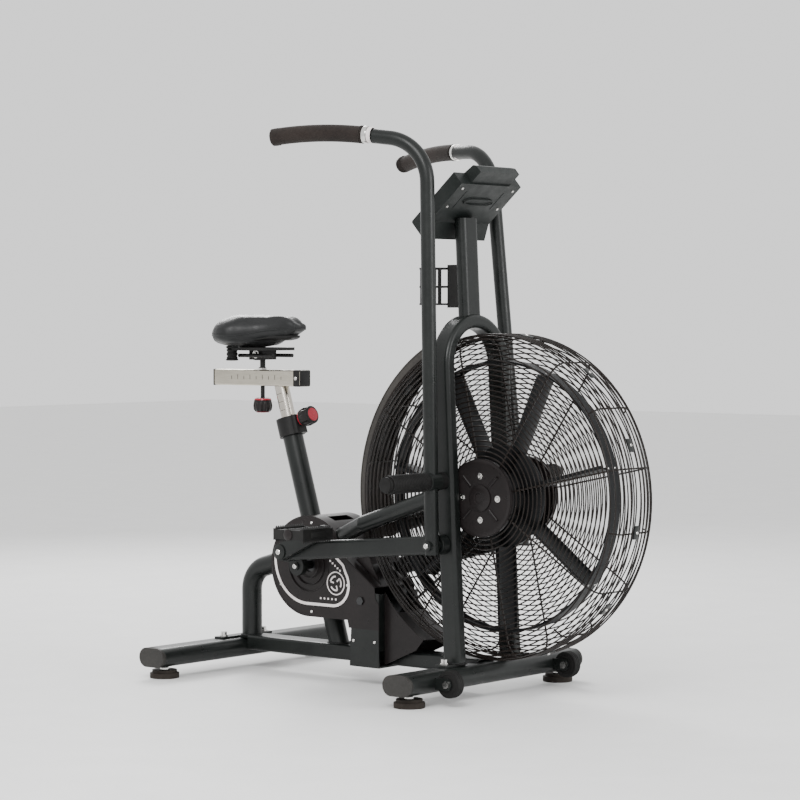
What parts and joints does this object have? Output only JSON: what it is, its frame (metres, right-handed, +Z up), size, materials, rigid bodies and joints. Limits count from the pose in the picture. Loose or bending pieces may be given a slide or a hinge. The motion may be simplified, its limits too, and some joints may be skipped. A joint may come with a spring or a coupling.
{
  "type": "air bike",
  "caption": "Fan exercise bike with a caged fan wheel, linked swinging handlebars, pedal cranks, an adjustable padded saddle and a console on a mast.",
  "frame": {"origin": "on the floor, under the middle of the bike’s bounding box", "axes": "+X towards the fan, +Y to the rider’s left, +Z up"},
  "size_m": [1.228, 0.626, 1.2652],
  "materials": {
    "powder_steel": "black powder coat, satin with a fine orange peel",
    "chrome_steel": "polished chrome plate",
    "seat_metal": "satin silver plating",
    "matte_plastic": "fine-textured moulded plastic",
    "gloss_cover": "smooth moulded cover",
    "black_wire": "gloss black enamel over wire",
    "foam_grip": "dense closed-cell foam",
    "black_rubber": "moulded rubber",
    "saddle_leather": "grained synthetic leather",
    "red_accent": "glossy red moulding",
    "screen_lens": "clear lens over a dark display",
    "fender_metal": "grey-brown painted sheet",
    "foot_rubber": "moulded rubber",
    "belt_rubber": "ribbed belt rubber",
    "button_plastic": "satin plastic",
    "white_print": "white printed graphics"
  },
  "bodies": {
    "frame": {"front_stabilizer": "powder_steel", "rear_stabilizer": "powder_steel", "stabilizer_caps": "matte_plastic", "base_tube": "powder_steel", "rear_upright": "powder_steel", "seat_tube": "powder_steel", "seat_collar": "matte_plastic", "right_hoop_leg": "powder_steel", "left_hoop_leg": "powder_steel", "mast": "powder_steel", "right_stay": "powder_steel", "left_stay": "powder_steel", "bottom_bracket_shell": "powder_steel", "shaft_bearings": "chrome_steel", "drive_bracket": "powder_steel", "right_crank_cover": "gloss_cover", "left_crank_cover": "gloss_cover", "drive_guard": "matte_plastic", "drive_belts": "belt_rubber", "fan_axle": "chrome_steel", "right_cage": "black_wire", "left_cage": "black_wire", "cage_rim": "black_wire", "rear_fender": "fender_metal", "right_hub_plate": "gloss_cover", "left_hub_plate": "gloss_cover", "console_housing": "matte_plastic", "console_screen": "screen_lens", "bottle_holder": "matte_plastic", "right_foot_peg": "matte_plastic", "left_foot_peg": "matte_plastic", "frame_bolts": "chrome_steel"},
    "crank": {"crank_spindle": "chrome_steel", "right_crank": "powder_steel", "left_crank": "powder_steel"},
    "right_link": {"right_link": "powder_steel"},
    "left_link": {"left_link": "powder_steel"},
    "right_pedal": {"right_pedal": "matte_plastic"},
    "left_pedal": {"left_pedal": "matte_plastic"},
    "right_lever": {"right_lever": "powder_steel", "right_grip": "foam_grip"},
    "left_lever": {"left_lever": "powder_steel", "left_grip": "foam_grip"},
    "jackshaft": {"jackshaft": "chrome_steel"},
    "fan_wheel": {"fan_wheel": "black_wire"},
    "seat_post": {"seat_post": "seat_metal", "seat_rail": "seat_metal"},
    "saddle_carriage": {"saddle_carriage": "matte_plastic", "saddle": "saddle_leather"},
    "height_knob": {"height_knob": "red_accent"},
    "clamp_knob": {"clamp_knob": "red_accent"},
    "right_transport_wheel": {"right_transport_wheel": "black_rubber"},
    "left_transport_wheel": {"left_transport_wheel": "black_rubber"},
    "front_right_foot": {"front_right_foot": "foot_rubber"},
    "front_left_foot": {"front_left_foot": "foot_rubber"},
    "rear_right_foot": {"rear_right_foot": "foot_rubber"},
    "rear_left_foot": {"rear_left_foot": "foot_rubber"},
    "mode_button": {"mode_button": "button_plastic"},
    "start_button": {"start_button": "button_plastic"},
    "stop_button": {"stop_button": "button_plastic"}
  },
  "joints": [
    {"name": "crank_turn", "type": "hinge", "parent": "frame", "child": "crank", "pos_m": [-0.262, 0, 0.265], "axis": [0, 1, 0], "continuous": true},
    {"name": "right_link_swing", "type": "hinge", "parent": "crank", "child": "right_link", "pos_m": [-0.27405, -0.127, 0.29998], "axis": [0, 1, 0], "continuous": true},
    {"name": "left_link_swing", "type": "hinge", "parent": "crank", "child": "left_link", "pos_m": [-0.24995, 0.127, 0.23002], "axis": [0, 1, 0], "continuous": true},
    {"name": "right_pedal_turn", "type": "hinge", "parent": "crank", "child": "right_pedal", "pos_m": [-0.1501, -0.214, 0.35242], "axis": [0, 1, 0], "continuous": true},
    {"name": "left_pedal_turn", "type": "hinge", "parent": "crank", "child": "left_pedal", "pos_m": [-0.3739, 0.214, 0.17758], "axis": [0, 1, 0], "continuous": true},
    {"name": "jackshaft_turn", "type": "hinge", "parent": "frame", "child": "jackshaft", "pos_m": [-0.102, 0, 0.192], "axis": [0, 1, 0], "continuous": true},
    {"name": "fan_turn", "type": "hinge", "parent": "frame", "child": "fan_wheel", "pos_m": [0.254, 0, 0.443], "axis": [0, 1, 0], "continuous": true},
    {"name": "right_lever_swing", "type": "hinge", "parent": "frame", "child": "right_lever", "pos_m": [0.172, -0.155, 0.479], "axis": [0, 1, 0], "range_deg": [-17, 13]},
    {"name": "left_lever_swing", "type": "hinge", "parent": "frame", "child": "left_lever", "pos_m": [0.172, 0.155, 0.479], "axis": [0, 1, 0], "range_deg": [-13, 17]},
    {"name": "seat_height", "type": "slide", "parent": "frame", "child": "seat_post", "axis": [-0.289, 0, 0.9573], "range_m": [-0.035, 0.13]},
    {"name": "saddle_fore_aft", "type": "slide", "parent": "seat_post", "child": "saddle_carriage", "axis": [1, 0, 0], "range_m": [-0.05, 0.025]},
    {"name": "clamp_knob_turn", "type": "hinge", "parent": "saddle_carriage", "child": "clamp_knob", "pos_m": [-0.47, 0, 0.63], "axis": [0, 0, 1], "range_deg": [0, 360]},
    {"name": "height_knob_pull", "type": "slide", "parent": "frame", "child": "height_knob", "axis": [0.9573, 0, 0.289], "range_m": [0, 0.008], "stiffness_N_per_m": 800},
    {"name": "right_transport_wheel_turn", "type": "hinge", "parent": "frame", "child": "right_transport_wheel", "pos_m": [0.274, -0.213, 0.05], "axis": [0, 1, 0], "continuous": true},
    {"name": "left_transport_wheel_turn", "type": "hinge", "parent": "frame", "child": "left_transport_wheel", "pos_m": [0.274, 0.213, 0.05], "axis": [0, 1, 0], "continuous": true},
    {"name": "front_right_foot_level", "type": "slide", "parent": "frame", "child": "front_right_foot", "axis": [0, 0, 1], "range_m": [-0.015, 0]},
    {"name": "front_left_foot_level", "type": "slide", "parent": "frame", "child": "front_left_foot", "axis": [0, 0, 1], "range_m": [-0.015, 0]},
    {"name": "rear_right_foot_level", "type": "slide", "parent": "frame", "child": "rear_right_foot", "axis": [0, 0, 1], "range_m": [-0.015, 0]},
    {"name": "rear_left_foot_level", "type": "slide", "parent": "frame", "child": "rear_left_foot", "axis": [0, 0, 1], "range_m": [-0.015, 0]},
    {"name": "mode_button_press", "type": "slide", "parent": "frame", "child": "mode_button", "axis": [0.66, 0, -0.7513], "range_m": [0, 0.0015], "stiffness_N_per_m": 400},
    {"name": "start_button_press", "type": "slide", "parent": "frame", "child": "start_button", "axis": [0.66, 0, -0.7513], "range_m": [0, 0.0015], "stiffness_N_per_m": 400},
    {"name": "stop_button_press", "type": "slide", "parent": "frame", "child": "stop_button", "axis": [0.66, 0, -0.7513], "range_m": [0, 0.0015], "stiffness_N_per_m": 400}
  ],
  "couplings": [
    {"joint": "right_link_swing", "follows": "crank_turn", "ratio": -1},
    {"joint": "left_link_swing", "follows": "crank_turn", "ratio": -1},
    {"joint": "jackshaft_turn", "follows": "crank_turn", "ratio": 3.5455},
    {"joint": "fan_turn", "follows": "crank_turn", "ratio": 6.3523},
    {"joint": "left_lever_swing", "follows": "right_lever_swing", "ratio": -1}
  ]
}
